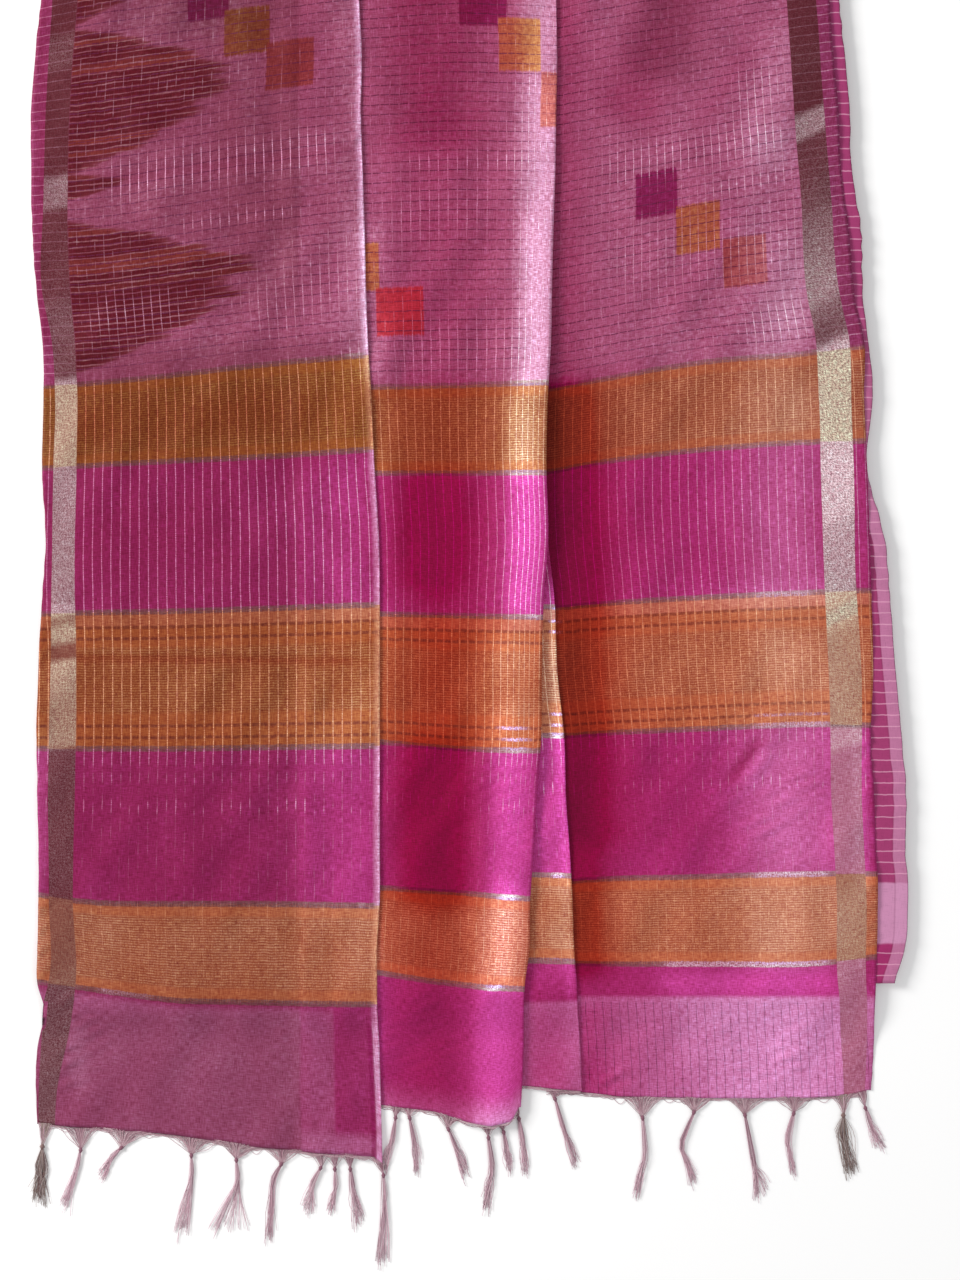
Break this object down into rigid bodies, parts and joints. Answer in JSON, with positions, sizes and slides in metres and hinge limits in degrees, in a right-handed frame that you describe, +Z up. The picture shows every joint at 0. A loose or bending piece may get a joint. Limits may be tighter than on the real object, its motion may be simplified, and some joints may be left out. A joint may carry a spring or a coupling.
{
  "type": "folded saree",
  "caption": "Sheer handwoven saree folded and laid flat, with its pleated, banded end piece and knotted tassels uppermost.",
  "frame": {"origin": "the middle of the bounding box, on the surface that the folded cloth lies on", "axes": "+X across the cloth to the right as seen in the picture, +Y up the cloth away from the tassels, +Z up off the surface"},
  "size_m": [0.9782, 1.5029, 0.0226],
  "materials": {
    "body_cloth": "sheer dusty pink silk and cotton with fine woven lines",
    "end_cloth": "sheer magenta and pink silk and cotton with orange and gold woven bands",
    "tassel_thread": "dull mauve-pink loose warp threads"
  },
  "bodies": {
    "root": {"folded_layers": "body_cloth", "under_layer": "body_cloth", "left_panel": "end_cloth", "middle_panel": "end_cloth", "pleat_strip": "end_cloth", "right_panel": "end_cloth", "tassel_01": "tassel_thread", "tassel_02": "tassel_thread", "tassel_03": "tassel_thread", "tassel_04": "tassel_thread", "tassel_05": "tassel_thread", "tassel_06": "tassel_thread", "tassel_07": "tassel_thread", "tassel_08": "tassel_thread", "tassel_09": "tassel_thread", "tassel_10": "tassel_thread", "tassel_11": "tassel_thread", "tassel_12": "tassel_thread", "tassel_13": "tassel_thread", "tassel_14": "tassel_thread", "tassel_15": "tassel_thread", "tassel_16": "tassel_thread", "tassel_17": "tassel_thread", "tassel_18": "tassel_thread", "tassel_19": "tassel_thread", "tassel_20": "tassel_thread", "tassel_21": "tassel_thread", "tassel_22": "tassel_thread", "tassel_23": "tassel_thread"}
  },
  "joints": []
}
